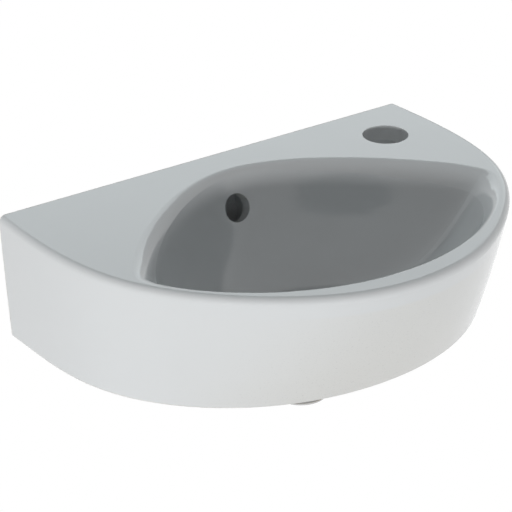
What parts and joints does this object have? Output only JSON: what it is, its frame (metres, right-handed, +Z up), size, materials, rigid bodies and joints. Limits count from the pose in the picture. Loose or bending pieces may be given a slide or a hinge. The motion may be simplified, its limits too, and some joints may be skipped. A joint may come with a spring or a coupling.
{
  "type": "wall hung hand basin",
  "caption": "Small wall-hung D-shaped hand basin with a deep bowl, tap hole, overflow, wall fixings and a push-open waste.",
  "frame": {"origin": "on the wall face, midway between the two fixing bolts, 50 mm under the rim", "axes": "+Y points into the wall, +Z up, +X along the wall to the tap hole's side; the bowl stands out towards -Y"},
  "size_m": [0.3648, 0.3198, 0.147],
  "materials": {
    "ceramic": "gloss white glaze",
    "chrome": "polished",
    "zinc_steel": "zinc plated",
    "spring_steel": "drawn wire",
    "brass": "turned",
    "white_plastic": "moulded",
    "grey_plastic": "moulded",
    "rubber": "moulded"
  },
  "bodies": {
    "basin": {"basin_body": "ceramic", "hanger_bolt_left": "zinc_steel", "fixing_bush_left": "white_plastic", "fixing_washer_left": "zinc_steel", "fixing_nut_left": "zinc_steel", "hanger_bolt_right": "zinc_steel", "fixing_bush_right": "white_plastic", "fixing_washer_right": "zinc_steel", "fixing_nut_right": "zinc_steel", "waste_body": "chrome", "flange_seal": "rubber", "lower_seal": "rubber", "slip_washer": "white_plastic", "back_nut": "brass", "cartridge_housing": "grey_plastic", "cartridge_lid": "grey_plastic", "lift_spring": "spring_steel"},
    "plug": {"plug_cap": "chrome", "plug_seal": "rubber", "plug_stem": "brass", "stem_nut": "brass"},
    "latch": {"latch_ring": "grey_plastic"}
  },
  "joints": [
    {"name": "plug_lift", "type": "slide", "parent": "basin", "child": "plug", "axis": [0, 0, 1], "range_m": [0, 0.009], "deforming": ["lift_spring"]},
    {"name": "latch_turn", "type": "hinge", "parent": "basin", "child": "latch", "pos_m": [0, -0.12, -0.0496], "axis": [0, 0, 1], "range_deg": [0, 45]}
  ],
  "couplings": [
    {"joint": "latch_turn", "follows": "plug_lift", "rad_per_m": 87.2}
  ]
}
